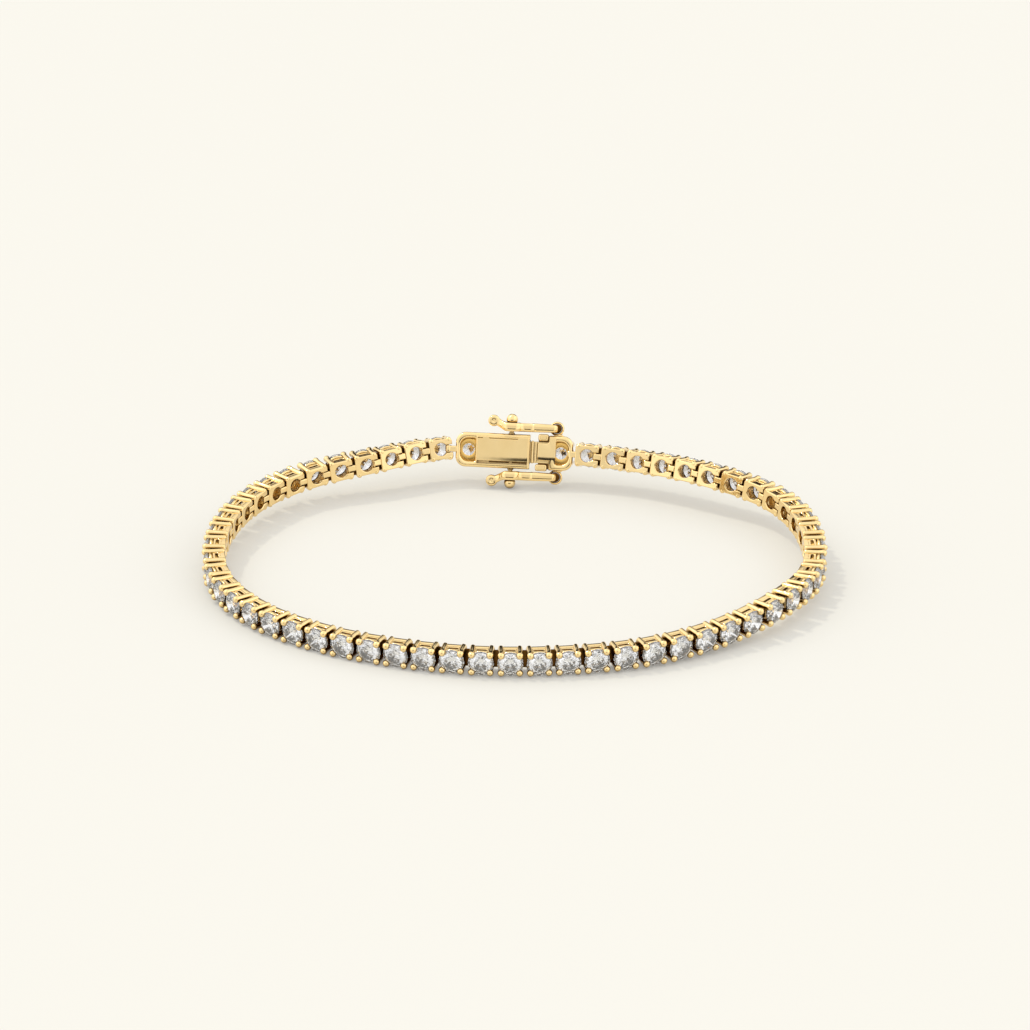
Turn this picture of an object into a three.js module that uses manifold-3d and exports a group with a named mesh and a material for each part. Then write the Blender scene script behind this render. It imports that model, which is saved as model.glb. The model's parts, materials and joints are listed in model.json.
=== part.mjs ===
// A tennis bracelet: a row of hinged four-prong links, each holding one round brilliant stone,
// closed by a tongue-and-box clasp with two figure-8 safety catches. It stands on its edge.
// Lengths are in millimetres. +Z is up, and the clasp lies at the back, along X.
//
// A link is made lying on its inner face: X runs along the chain, Y across it, and Z from the
// wearer's skin to the stone. Its origin is the middle of its rear hinge pin, on the inner face.
// The clasp is made the same way from the pin of its tongue end, so X runs on through the clasp.
import * as THREE from "three";
import { mergeVertices } from "three/addons/utils/BufferGeometryUtils.js";
import Module from "manifold-3d";

const wasm = await Module();
wasm.setup();

// Chain
const LINK_COUNT = 55;
const LINK_PITCH = 2.98;
const LINK_GAP = 0.3;
const LINK_WIDTH = 2.8;
const LINK_WAIST = 2.3;
const PLATE_THICKNESS = 0.65;
const HOLE_DIAMETER = 1.5;
const HOLE_STEPS = 3;
const PIN_INSET = 0.45;
const PIN_DIAMETER = 0.24;
const PIN_SEAT = 0.2;
const PIN_CLEARANCE = 0.1;
const TAB_WIDTH = 0.75;
const TAB_THICKNESS = 0.42;
const TAB_ROOT = 0.1;
const TAB_OVERRUN = 0.15;
const TAB_CLEARANCE = 0.13;
const TAB_GRIP = 0.05;
const EYE_WALL = 0.13;

// Stones and their prongs
const STONE_DIAMETER = 2.75;
const STONE_FACETS = 8;
const GIRDLE_HEIGHT = 2.02;
const TABLE_SHARE = 0.57;
const CROWN_HEIGHT = 0.4;
const PAVILION_DEPTH = 1.16;
const PRONG_WIDTH = 0.58;
const PRONG_HEIGHT = 2.55;
const PRONG_ALONG = 1.98;
const PRONG_ACROSS = 1.98;
const STONE_SEAT_GAP = 0.08;

// Clasp
const CLASP_SPAN = 13.6;
const CLASP_WIDTH = 3.9;
const CLASP_THICKNESS = 1.4;
const CLASP_PARTING = 2.2;
const RIM = 0.35;
const WINDOW_LENGTH = 1.6;
const WINDOW_WIDTH = 2.6;
const HEAD_MARGIN = 0.51;
const BOX_END_GAP = 0.4;
const END_CORNER_RADIUS = 1.1;
const END_CORNER_STEPS = 2;
const INNER_PLATE_WIDTH = 2.8;
const INNER_PLATE_RISE = 0.15;
const INNER_PLATE_MARGIN = 0.12;
const SLOT_LENGTH = 3.1;
const SLOT_WIDTH = 0.12;
const SLOT_DEPTH = 0.1;
const CAVITY_MARGIN = 1.54;
const TONGUE_WIDTH = 2.4;
const TONGUE_CLEARANCE = 0.15;
const TONGUE_LEAF = 0.22;
const TONGUE_SPREAD = 0.6;
const TONGUE_TIP_GAP = 0.4;
const TONGUE_HEIGHT = 0.35;
const NECK_PLATE_LENGTH = 1.4;
const NECK_PLATE_WIDTH = 2.2;
const THUMB_WIDTH = 4.2;
const THUMB_LENGTH = 1.4;
const THUMB_GAP = 0.15;

// Safety catches, their pegs and their hinge rings
const PEG_DIAMETER = 0.56;
const BALL_DIAMETER = 1.2;
const BALL_REACH = 3.63;
const SAFETY_REACH = 2.74;
const SAFETY_WIRE = 0.4;
const SAFETY_THICKNESS = 0.56;
const HINGE_TO_PEG = 5.1;
const RING_WIRE = 0.4;
const RING_BORE = 0.84;
const RING_STEM_WIDTH = 0.6;
const HINGE_SETBACK = 0.75;
const HINGE_LOOP_LENGTH = 2.5;
const HINGE_LOOP_WIDTH = 0.62;
const EYE_LENGTH = 1.85;
const EYE_WIDTH = 1.45;
const WAIST_WIDTH = 1.0;
const KNOB_DIAMETER = 1.1;
const KNOB_OVERRUN = 2.1;
const KNOB_RISE = 0.64;
const KNOB_STEM = 0.5;

// Steps of the round shapes
const ROUND_SIDES = 8;
const BALL_SIDES = 10;
const BALL_RINGS = 6;
const RING_SIDES = 10;
const WIRE_SIDES = 6;
const ARC_STEPS = 3;

// Lean in degrees: the clasp's upper edge lies back, away from the middle of the loop, and so do
// the links beside it, less and less with each link.
const CLASP_LEAN = 22;
const LEFT_LEAN_LINKS = 6;
const RIGHT_LEAN_LINKS = 14;

// Route of the hinge pins, from the clasp box round the left, the front and the right to the
// clasp tongue. lift is a share of the height at which the clasp's lower ball holds the clasp.
const ROUTE = [
  { x: -10.3, y: 23.9, lift: 1.03 },
  { x: -18.3, y: 20.3, lift: 0.9 },
  { x: -26.4, y: 16.6, lift: 0.59 },
  { x: -31.6, y: 9.6, lift: 0.54 },
  { x: -33.9, y: 1.1, lift: 0.37 },
  { x: -32.9, y: -7.6, lift: 0.13 },
  { x: -28.0, y: -15.1, lift: 0.05 },
  { x: -20.8, y: -20.1, lift: 0 },
  { x: -12.5, y: -23.2, lift: 0 },
  { x: -3.7, y: -24.8, lift: 0.04 },
  { x: 5.1, y: -24.2, lift: 0.03 },
  { x: 13.7, y: -22.0, lift: 0.07 },
  { x: 21.4, y: -17.5, lift: 0.17 },
  { x: 27.8, y: -11.4, lift: 0.46 },
  { x: 31.1, y: -3.3, lift: 0.38 },
  { x: 30.4, y: 5.5, lift: 0.69 },
  { x: 26.5, y: 13.4, lift: 0.8 },
  { x: 19.0, y: 18.2, lift: 1 },
  { x: 11.1, y: 21.9, lift: 0.94 },
  { x: 2.3, y: 23.6, lift: 0.98 },
];
const ROUTE_SAMPLES = 2400;
const LEFT_LINKS = Math.floor(LINK_COUNT / 2);

// Sizes that follow from the ones above
const HINGE_HEIGHT = PLATE_THICKNESS / 2;
const REAR_EDGE = -PIN_INSET;
const FRONT_EDGE = REAR_EDGE + LINK_PITCH - LINK_GAP;
const STONE_X = (REAR_EDGE + FRONT_EDGE) / 2;
const NOTCH_WIDTH = TAB_WIDTH + 2 * TAB_CLEARANCE;
const EYE_BORE = PIN_DIAMETER + 2 * PIN_CLEARANCE;
const BOX_END = CLASP_SPAN - PIN_INSET - BOX_END_GAP;
const BOX_STONE_X = BOX_END - RIM - STONE_DIAMETER / 2 + PRONG_WIDTH / 2;
const BOX_WINDOW_START = BOX_STONE_X - WINDOW_LENGTH / 2;
const HEAD_END = STONE_X + WINDOW_LENGTH / 2 + HEAD_MARGIN;
const BOX_START = HEAD_END + CLASP_PARTING;
const CAVITY_END = BOX_WINDOW_START - CAVITY_MARGIN;
const THUMB_START = HEAD_END + THUMB_GAP;
const CLASP_MIDDLE = CLASP_THICKNESS / 2;
const LEAN_ANGLE = THREE.MathUtils.degToRad(CLASP_LEAN);
const BALL_DROP =
  BALL_REACH * Math.cos(LEAN_ANGLE) + (CLASP_MIDDLE - HINGE_HEIGHT) * Math.sin(LEAN_ANGLE);
const CLASP_LIFT = BALL_DROP + BALL_DIAMETER / 2 - LINK_WIDTH / 2;
const HINGE_X = HEAD_END - HINGE_SETBACK;
const PEG_X = HINGE_X + HINGE_TO_PEG;

const GOLD = new THREE.MeshStandardMaterial({ color: 0xe2c184, roughness: 0.2, metalness: 1 });
const DIAMOND = new THREE.MeshStandardMaterial({ color: 0xf2f4f5, roughness: 0.05, metalness: 0 });

// Booleans

function solidOf(geometry) {
  const bare = geometry.clone();
  bare.deleteAttribute("normal");
  bare.deleteAttribute("uv");
  const merged = mergeVertices(bare, 1e-5);
  const corners = [];
  for (let i = 0; i < merged.index.count; i += 3) {
    const [a, b, c] = merged.index.array.slice(i, i + 3);
    if (a !== b && b !== c && a !== c) corners.push(a, b, c);
  }
  const vertProperties = merged.attributes.position.array;
  return new wasm.Manifold(
    new wasm.Mesh({ numProp: 3, vertProperties, triVerts: Uint32Array.from(corners) }),
  );
}

function geometryOf(solid) {
  const mesh = solid.getMesh();
  const geometry = new THREE.BufferGeometry();
  geometry.setAttribute("position", new THREE.BufferAttribute(mesh.vertProperties, 3));
  geometry.setIndex(new THREE.BufferAttribute(mesh.triVerts, 1));
  return geometry;
}

function joined(geometries) {
  return geometries.map(solidOf).reduce((whole, solid) => whole.add(solid));
}

function cut(solid, geometries) {
  return geometries.map(solidOf).reduce((rest, tool) => rest.subtract(tool), solid);
}

function meshOf(name, solid, material) {
  const geometry = geometryOf(solid).toNonIndexed();
  geometry.computeVertexNormals();
  const mesh = new THREE.Mesh(geometry, material);
  mesh.name = name;
  return mesh;
}

// Simple shapes

function block(fromX, toX, width, fromZ, toZ) {
  const box = new THREE.BoxGeometry(toX - fromX, width, toZ - fromZ);
  return box.translate((fromX + toX) / 2, 0, (fromZ + toZ) / 2);
}

function slab(outline, fromZ, toZ) {
  const depth = toZ - fromZ;
  const options = { depth, bevelEnabled: false, curveSegments: ARC_STEPS };
  return new THREE.ExtrudeGeometry(outline, options).translate(0, 0, fromZ);
}

function crossPin(x, diameter, length) {
  const pin = new THREE.CylinderGeometry(diameter / 2, diameter / 2, length, ROUND_SIDES);
  return pin.translate(x, 0, HINGE_HEIGHT);
}

function mirroredOutline(half) {
  const other = half.map(([x, y]) => [x, -y]).reverse();
  return new THREE.Shape([...half, ...other].map(([x, y]) => new THREE.Vector2(x, y)));
}

// Stones and settings

function stone(x) {
  const radius = STONE_DIAMETER / 2;
  const tableHeight = GIRDLE_HEIGHT + CROWN_HEIGHT;
  const profile = [
    [0, GIRDLE_HEIGHT - PAVILION_DEPTH],
    [radius, GIRDLE_HEIGHT],
    [radius * TABLE_SHARE, tableHeight],
    [0, tableHeight],
  ];
  const points = profile.map(([r, z]) => new THREE.Vector2(r, z));
  const turned = new THREE.LatheGeometry(points, STONE_FACETS, Math.PI / STONE_FACETS);
  return turned.rotateX(Math.PI / 2).translate(x, 0, 0);
}

function prong(x, y, fromZ) {
  const half = PRONG_WIDTH / 2;
  return block(x - half, x + half, PRONG_WIDTH, fromZ, PRONG_HEIGHT).translate(0, y, 0);
}

function prongs(x, fromZ) {
  const signs = [-1, 1];
  return signs.flatMap((along) =>
    signs.map((across) => prong(x + (along * PRONG_ALONG) / 2, (across * PRONG_ACROSS) / 2, fromZ)),
  );
}

// One link: plate with four bulging corners, a round hole open to the rear notch, and a forward
// tab. Within a chain the tab is held fast in the next notch. Where a chain meets another piece,
// the tab's eye turns freely on a pin that crosses the notch.

function plateOutline(notchWidth) {
  const bulge = LINK_WIDTH / 2;
  const notch = notchWidth / 2;
  const holeRadius = HOLE_DIAMETER / 2;
  const notchAngle = Math.PI - Math.asin(notch / holeRadius);
  const half = [
    [FRONT_EDGE, bulge],
    [STONE_X, LINK_WAIST / 2],
    [REAR_EDGE, bulge],
    [REAR_EDGE, notch],
  ];
  for (let i = 0; i < HOLE_STEPS; i++) {
    const angle = notchAngle * (1 - i / (HOLE_STEPS - 0.5));
    half.push([STONE_X + holeRadius * Math.cos(angle), holeRadius * Math.sin(angle)]);
  }
  return mirroredOutline(half);
}

function tab(fromX, pinX) {
  const low = HINGE_HEIGHT - TAB_THICKNESS / 2;
  return block(fromX - TAB_ROOT, pinX + TAB_OVERRUN, TAB_WIDTH, low, low + TAB_THICKNESS);
}

function link(notchWidth) {
  const plate = slab(plateOutline(notchWidth), 0, PLATE_THICKNESS);
  const setting = prongs(STONE_X, HINGE_HEIGHT);
  return joined([plate, tab(FRONT_EDGE, LINK_PITCH), ...setting, stone(STONE_X)]);
}

function hingePin() {
  return crossPin(0, PIN_DIAMETER, NOTCH_WIDTH + 2 * PIN_SEAT);
}

function withEye(solid, x) {
  const knuckle = crossPin(x, EYE_BORE + 2 * EYE_WALL, TAB_WIDTH);
  return cut(solid.add(solidOf(knuckle)), [crossPin(x, EYE_BORE, 2 * TAB_WIDTH)]);
}

// Route of the pins

function routeCurve(scale) {
  const floorToPin = LINK_WIDTH / 2;
  const points = ROUTE.map(
    ({ x, y, lift }) => new THREE.Vector3(x * scale, y * scale, floorToPin + lift * CLASP_LIFT),
  );
  return new THREE.CatmullRomCurve3(points, true);
}

function pinsAlong(curve) {
  const samples = curve.getPoints(ROUTE_SAMPLES);
  const pins = [samples[0]];
  let next = 1;
  while (pins.length <= LINK_COUNT) {
    const pin = pins.at(-1);
    while (samples[next % ROUTE_SAMPLES].distanceTo(pin) < LINK_PITCH) next++;
    const step = samples[next % ROUTE_SAMPLES].clone().sub(pin).setLength(LINK_PITCH);
    pins.push(step.add(pin));
  }
  return pins;
}

// The route grows or shrinks until the links leave just the clasp's span open.
function closedPins() {
  const whole = LINK_COUNT * LINK_PITCH + CLASP_SPAN;
  const middle = whole / routeCurve(1).getLength();
  let low = middle * 0.9;
  let high = middle * 1.1;
  for (let i = 0; i < 30; i++) {
    const trial = (low + high) / 2;
    const pins = pinsAlong(routeCurve(trial));
    if (pins[0].distanceTo(pins.at(-1)) > CLASP_SPAN) high = trial;
    else low = trial;
  }
  return pinsAlong(routeCurve(low));
}

// Turned about Z so that the clasp lies along X.
function levelPins() {
  const pins = closedPins();
  const span = pins.at(-1).clone().sub(pins[0]);
  const turn = -Math.atan2(span.y, span.x);
  const up = new THREE.Vector3(0, 0, 1);
  return pins.map((pin) => pin.applyAxisAngle(up, turn));
}

function leanOf(index) {
  const fromBox = (index + 0.5) / LEFT_LEAN_LINKS;
  const fromTongue = (LINK_COUNT - index - 0.5) / RIGHT_LEAN_LINKS;
  return LEAN_ANGLE * (1 - THREE.MathUtils.smoothstep(Math.min(fromBox, fromTongue), 0, 1));
}

function frameAt(from, to, lean) {
  const forward = to.clone().sub(from).normalize();
  const up = new THREE.Vector3(0, 0, 1).addScaledVector(forward, -forward.z).normalize();
  up.applyAxisAngle(forward, lean);
  const outward = forward.clone().cross(up);
  const innerFace = from.clone().addScaledVector(outward, -HINGE_HEIGHT);
  return new THREE.Matrix4().makeBasis(forward, up, outward).setPosition(innerFace);
}

function chain(name, pins, first, last) {
  const heldNotch = TAB_WIDTH - 2 * TAB_GRIP;
  const firstLink = link(NOTCH_WIDTH).add(solidOf(hingePin()));
  const innerLink = link(heldNotch);
  const lastLink = withEye(innerLink, LINK_PITCH);
  const between = Array(last - first - 2).fill(innerLink);
  const placed = [firstLink, ...between, lastLink].map((shape, i) => {
    const index = first + i;
    return geometryOf(shape).applyMatrix4(frameAt(pins[index], pins[index + 1], leanOf(index)));
  });
  return meshOf(name, joined(placed), GOLD);
}

// Clasp

function windowAt(x) {
  return block(x - WINDOW_LENGTH / 2, x + WINDOW_LENGTH / 2, WINDOW_WIDTH, -1, CLASP_THICKNESS + 1);
}

function stoneSeat(x) {
  const room = (STONE_DIAMETER + 2 * STONE_SEAT_GAP) / STONE_DIAMETER;
  const lift = -STONE_SEAT_GAP / 2;
  return stone(0).scale(room, room, 1).translate(x, 0, lift);
}

function claspSetting(body, x) {
  const held = prongs(x, CLASP_MIDDLE).map(solidOf);
  const whole = held.reduce((sum, bar) => sum.add(bar), body);
  return cut(whole, [stoneSeat(x)]);
}

// A clasp half seen from its inner face: square where the halves part, round at its far end.
function halfOutline(squareX, roundX) {
  const along = Math.sign(roundX - squareX) * END_CORNER_RADIUS;
  const cornerY = CLASP_WIDTH / 2 - END_CORNER_RADIUS;
  const half = [[squareX, CLASP_WIDTH / 2]];
  for (let i = 0; i <= END_CORNER_STEPS; i++) {
    const angle = (Math.PI / 2) * (i / END_CORNER_STEPS);
    const x = roundX - along * (1 - Math.sin(angle));
    half.push([x, cornerY + END_CORNER_RADIUS * Math.cos(angle)]);
  }
  return mirroredOutline(half);
}

function tongueCavity() {
  const low = TONGUE_HEIGHT - TONGUE_CLEARANCE;
  const high = TONGUE_HEIGHT + TONGUE_SPREAD + TONGUE_CLEARANCE;
  const width = TONGUE_WIDTH + 2 * TONGUE_CLEARANCE;
  return block(BOX_START - 1, CAVITY_END, width, low, high);
}

function ball(x, y, z, diameter) {
  const sphere = new THREE.SphereGeometry(diameter / 2, BALL_SIDES, BALL_RINGS);
  return sphere.translate(x, y, z);
}

function rod(x, fromY, toY, z, diameter) {
  const length = Math.abs(toY - fromY);
  const bar = new THREE.CylinderGeometry(diameter / 2, diameter / 2, length, ROUND_SIDES);
  return bar.translate(x, (fromY + toY) / 2, z);
}

function peg(side) {
  const foot = side * (CLASP_WIDTH / 2 - RIM / 2);
  const top = side * BALL_REACH;
  const stem = rod(PEG_X, foot, top, CLASP_MIDDLE, PEG_DIAMETER);
  return [stem, ball(PEG_X, top, CLASP_MIDDLE, BALL_DIAMETER)];
}

function claspBox() {
  const plateEnd = BOX_WINDOW_START - INNER_PLATE_MARGIN;
  const plateStart = BOX_START + INNER_PLATE_MARGIN;
  const plate = block(plateStart, plateEnd, INNER_PLATE_WIDTH, -INNER_PLATE_RISE, RIM / 2);
  const slotMiddle = (plateStart + plateEnd) / 2;
  const slotY = INNER_PLATE_WIDTH / 2 - 2 * SLOT_WIDTH;
  const slot = block(
    slotMiddle - SLOT_LENGTH / 2,
    slotMiddle + SLOT_LENGTH / 2,
    SLOT_WIDTH,
    -INNER_PLATE_RISE - 1,
    SLOT_DEPTH - INNER_PLATE_RISE,
  ).translate(0, slotY, 0);
  const shell = slab(halfOutline(BOX_START, BOX_END), 0, CLASP_THICKNESS);
  const outside = joined([shell, plate, tab(BOX_END, CLASP_SPAN), ...peg(1), ...peg(-1)]);
  const body = cut(withEye(outside, CLASP_SPAN), [windowAt(BOX_STONE_X), tongueCavity(), slot]);
  return meshOf("clasp_box", claspSetting(body, BOX_STONE_X), GOLD);
}

function hingeRing(side) {
  const radius = (RING_BORE + RING_WIRE) / 2;
  const centreY = side * SAFETY_REACH;
  const ring = new THREE.TorusGeometry(radius, RING_WIRE / 2, WIRE_SIDES, RING_SIDES);
  ring.translate(HINGE_X, centreY, CLASP_MIDDLE);
  const stemTop = SAFETY_REACH - radius;
  const stemFoot = CLASP_WIDTH / 2 - RIM / 2;
  const halfWire = RING_WIRE / 2;
  const stem = block(
    HINGE_X - RING_STEM_WIDTH / 2,
    HINGE_X + RING_STEM_WIDTH / 2,
    stemTop - stemFoot,
    CLASP_MIDDLE - halfWire,
    CLASP_MIDDLE + halfWire,
  ).translate(0, (side * (stemTop + stemFoot)) / 2, 0);
  return [ring, stem];
}

// Two leaves folded at the tip, seen from the side and drawn across the tongue's width.
function springTongue() {
  const tip = CAVITY_END - TONGUE_TIP_GAP;
  const low = TONGUE_HEIGHT;
  const high = TONGUE_HEIGHT + TONGUE_SPREAD;
  const thumbEnd = THUMB_START + THUMB_LENGTH;
  const root = HEAD_END - RIM;
  const profile = [
    [root, low],
    [tip, low],
    [tip, low + TONGUE_LEAF * 1.5],
    [thumbEnd, high],
    [THUMB_START, high],
    [THUMB_START, high - TONGUE_LEAF],
    [thumbEnd, high - TONGUE_LEAF],
    [tip - TONGUE_LEAF * 2, low + TONGUE_LEAF],
    [root, low + TONGUE_LEAF],
  ];
  const outline = new THREE.Shape(profile.map(([x, z]) => new THREE.Vector2(x, z)));
  const leaves = slab(outline, -TONGUE_WIDTH / 2, TONGUE_WIDTH / 2).rotateX(Math.PI / 2);
  const thumb = block(THUMB_START, thumbEnd, THUMB_WIDTH, high - TONGUE_LEAF, high);
  return [leaves, thumb];
}

function claspTongue() {
  const head = slab(halfOutline(HEAD_END, REAR_EDGE), 0, CLASP_THICKNESS);
  const neckEnd = HEAD_END + NECK_PLATE_LENGTH;
  const neckHigh = TONGUE_HEIGHT + TONGUE_LEAF / 2;
  const neckPlate = block(HEAD_END - RIM, neckEnd, NECK_PLATE_WIDTH, 0, neckHigh);
  const notch = block(REAR_EDGE - 1, STONE_X, NOTCH_WIDTH, -1, CLASP_THICKNESS + 1);
  const outside = joined([head, neckPlate, ...springTongue(), ...hingeRing(1), ...hingeRing(-1)]);
  const body = cut(outside, [windowAt(STONE_X), notch]).add(solidOf(hingePin()));
  return meshOf("clasp_tongue", claspSetting(body, STONE_X), GOLD);
}

function claspStone(name, x) {
  return meshOf(name, solidOf(stone(x)), DIAMOND);
}

// Safety catch: a wire bent into an 8, with a knob to lift it by. Its origin is its hinge.

function slotOutline(Outline, fromX, toX, halfWidth) {
  const outline = new Outline();
  outline.absarc(toX - halfWidth, 0, halfWidth, -Math.PI / 2, Math.PI / 2);
  outline.absarc(fromX + halfWidth, 0, halfWidth, Math.PI / 2, (Math.PI * 3) / 2);
  return outline;
}

function wireLoop(fromX, toX, width) {
  const reach = width / 2 + SAFETY_WIRE;
  const outline = slotOutline(THREE.Shape, fromX - SAFETY_WIRE, toX + SAFETY_WIRE, reach);
  outline.holes.push(slotOutline(THREE.Path, fromX, toX, width / 2));
  return slab(outline, -SAFETY_THICKNESS / 2, SAFETY_THICKNESS / 2);
}

function safety(name, side) {
  const loopStart = SAFETY_WIRE / 2;
  const loopEnd = loopStart + HINGE_LOOP_LENGTH;
  const eyeStart = HINGE_TO_PEG - EYE_LENGTH / 2;
  const eyeEnd = HINGE_TO_PEG + EYE_LENGTH / 2;
  const halfThick = SAFETY_THICKNESS / 2;
  const waist = block(loopEnd, eyeStart, WAIST_WIDTH, -halfThick, halfThick).rotateX(Math.PI / 2);
  const knobX = HINGE_TO_PEG + KNOB_OVERRUN;
  const knobStem = rod(0, 0, Math.hypot(knobX - eyeEnd, KNOB_RISE), 0, KNOB_STEM);
  const lean = Math.atan2(KNOB_RISE, knobX - eyeEnd) - Math.PI / 2;
  knobStem.rotateZ(lean).translate(eyeEnd + SAFETY_WIRE / 2, 0, 0);
  const bar = joined([
    wireLoop(loopStart, loopEnd, HINGE_LOOP_WIDTH).rotateX(Math.PI / 2),
    wireLoop(eyeStart, eyeEnd, EYE_WIDTH).rotateX(Math.PI / 2),
    waist,
    knobStem,
    ball(knobX, KNOB_RISE, 0, KNOB_DIAMETER),
  ]);
  const mesh = meshOf(name, bar, GOLD);
  mesh.position.set(HINGE_X, side * SAFETY_REACH, CLASP_MIDDLE);
  mesh.rotation.x = side > 0 ? 0 : Math.PI;
  return mesh;
}

function clasp(frame) {
  const group = new THREE.Group();
  group.add(claspBox(), claspTongue());
  group.add(claspStone("box_stone", BOX_STONE_X), claspStone("tongue_stone", STONE_X));
  group.add(safety("safety_upper", 1), safety("safety_lower", -1));
  group.applyMatrix4(frame);
  return group;
}

function bracelet() {
  const pins = levelPins();
  const group = new THREE.Group();
  group.add(chain("chain_left", pins, 0, LEFT_LINKS));
  group.add(chain("chain_right", pins, LEFT_LINKS, LINK_COUNT));
  group.add(clasp(frameAt(pins[LINK_COUNT], pins[0], LEAN_ANGLE)));
  const bounds = new THREE.Box3().setFromObject(group, true);
  const centre = bounds.getCenter(new THREE.Vector3());
  group.position.set(-centre.x, -centre.y, -bounds.min.z);
  return group;
}

export default bracelet();
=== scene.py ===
"""Looks of a tennis bracelet: polished gold links with round brilliant stones, closed by a
tongue-and-box clasp with two safety catches, standing on its edge on a pale floor.

Shapes are made in millimetres in the frame of one link (X along the chain, Y across it, Z from
the wearer's skin to the stone, origin at the rear hinge on the inner face) and then placed. The
clasp is made in such a frame too, which runs from the chain's last pin to its first.
"""
import json
import math

import bmesh
import bpy
import numpy as np
from mathutils import Matrix, Vector
from mathutils.geometry import tessellate_polygon

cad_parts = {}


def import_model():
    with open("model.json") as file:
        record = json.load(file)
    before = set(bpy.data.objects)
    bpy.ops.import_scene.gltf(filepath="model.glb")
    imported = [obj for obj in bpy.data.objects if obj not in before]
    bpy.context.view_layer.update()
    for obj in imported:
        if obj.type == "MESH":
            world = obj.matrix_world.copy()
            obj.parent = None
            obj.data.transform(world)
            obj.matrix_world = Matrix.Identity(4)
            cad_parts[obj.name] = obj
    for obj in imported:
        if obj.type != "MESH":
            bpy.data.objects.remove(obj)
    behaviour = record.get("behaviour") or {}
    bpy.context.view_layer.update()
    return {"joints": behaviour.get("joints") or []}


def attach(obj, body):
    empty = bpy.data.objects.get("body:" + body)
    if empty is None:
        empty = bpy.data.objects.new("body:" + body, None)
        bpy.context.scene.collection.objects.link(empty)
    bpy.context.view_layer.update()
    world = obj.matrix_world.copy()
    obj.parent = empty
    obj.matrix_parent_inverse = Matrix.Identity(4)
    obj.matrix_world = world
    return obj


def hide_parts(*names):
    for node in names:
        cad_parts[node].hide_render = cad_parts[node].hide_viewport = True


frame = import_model()

MM = 0.001
NEAR_ZERO = 1e-6
UPRIGHT = Matrix.Rotation(math.pi / 2, 4, "X")

# Chain, as in the part
LINK_COUNT = 55
LINK_PITCH = 2.98
LINK_WIDTH = 2.8
PLATE_THICKNESS = 0.65
HINGE_HEIGHT = PLATE_THICKNESS / 2
REAR_EDGE = -0.45
FRONT_EDGE = 2.23
STONE_X = (REAR_EDGE + FRONT_EDGE) / 2
LEFT_LINKS = LINK_COUNT // 2
CLASP_SPAN = 13.6
# Points of the route as seen from above, with each one's share of the clasp's lift
ROUTE = [
    (-10.3, 23.9, 1.03), (-18.3, 20.3, 0.9), (-26.4, 16.6, 0.59), (-31.6, 9.6, 0.54),
    (-33.9, 1.1, 0.37), (-32.9, -7.6, 0.13), (-28.0, -15.1, 0.05), (-20.8, -20.1, 0.0),
    (-12.5, -23.2, 0.0), (-3.7, -24.8, 0.04), (5.1, -24.2, 0.03), (13.7, -22.0, 0.07),
    (21.4, -17.5, 0.17), (27.8, -11.4, 0.46), (31.1, -3.3, 0.38), (30.4, 5.5, 0.69),
    (26.5, 13.4, 0.8), (19.0, 18.2, 1.0), (11.1, 21.9, 0.94), (2.3, 23.6, 0.98),
]
ROUTE_SAMPLES = 2400

# Clasp, as in the part
CLASP_HALF = 1.95
CLASP_THICKNESS = 1.4
CLASP_MIDDLE = CLASP_THICKNESS / 2
HEAD_END = 2.2
BOX_START = 4.4
BOX_END = 12.75
BOX_STONE_X = 11.315
CAVITY_END = 8.98
HINGE_X = 1.45
PEG_X = 6.55
SAFETY_REACH = 2.74
BALL_REACH = 3.63
BALL_RADIUS = 0.6
STONE_RADIUS = 1.375
GIRDLE = 2.02

# Lean of the clasp and of the links beside it, as in the part
LEAN = math.radians(22)
LEFT_LEAN_LINKS = 6
RIGHT_LEAN_LINKS = 14
BALL_DROP = BALL_REACH * math.cos(LEAN) + (CLASP_MIDDLE - HINGE_HEIGHT) * math.sin(LEAN)
CLASP_LIFT = BALL_DROP + BALL_RADIUS - LINK_WIDTH / 2

# Facets of a stone
TABLE_SHARE = 0.57
STAR_SHARE = 0.5
LOWER_SHARE = 0.23
CROWN_HEIGHT = 0.4
PAVILION_DEPTH = 1.16
GIRDLE_BAND = 0.035

# Details of a link, finer than in the part
BAR_RADIUS = 0.31
BAR_FOOT = 0.26
BAR_TOP = 2.55
BAR_ALONG = 0.99
BAR_ACROSS = 1.0
BEAD_RADIUS = 0.39
BEAD_ANGLES = (0, 22, 42, 60, 76)
GALLERY_RING = (1.13, 0.16, 0.17)  # radius, then half the wire's width and height
GALLERY_LEVEL = 1.66
HOLE_RADIUS = 0.74
NOTCH_HALF = 0.9 / 2
CUP_PROFILE = [(HOLE_RADIUS, 0.3), (0.81, 0.3), (0.84, 1.15), (1.12, 1.55), (1.02, 1.6)]
TAB_HALF = 0.68 / 2
TAB_OVERRUN = 0.15
BRIDGE_HALF = 1.0
BRIDGE_OVERLAP = 0.3

# Details of the clasp, finer than in the part
SHELL_BEVEL = 0.3
SEAT_PROFILE = [(0.68, 0.5), (0.85, 0.42), (1.42, 0.62), (1.42, 1.3), (1.2, 1.3)]
CLASP_SETTING_LEVEL = 0.75
BALL_SHOWN = (0.65, 3.565)  # radius and reach: a little fuller than the part's, in its box
PEG_RADIUS = 0.26
COLLAR_RADIUS = 0.36
RING_SHAPE = (0.69, 0.13, 0.24)  # as in GALLERY_RING

# Details of the safety catches, finer than in the part
EYE_CENTRE = 5.1
EYE_REACH = 0.925
KNOB_X = 7.15
KNOB_RISE = 0.64
KNOB_PROFILE = [(0.0, 0.41), (0.1, 0.41), (0.16, 0.45), (0.5, 0.46), (0.59, 0.4), (0.64, 0.3),
                (0.65, 0.18)]
CATCH_HALF_THICKNESS = 0.48
CATCH_PIN_RADIUS = 0.535

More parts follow.
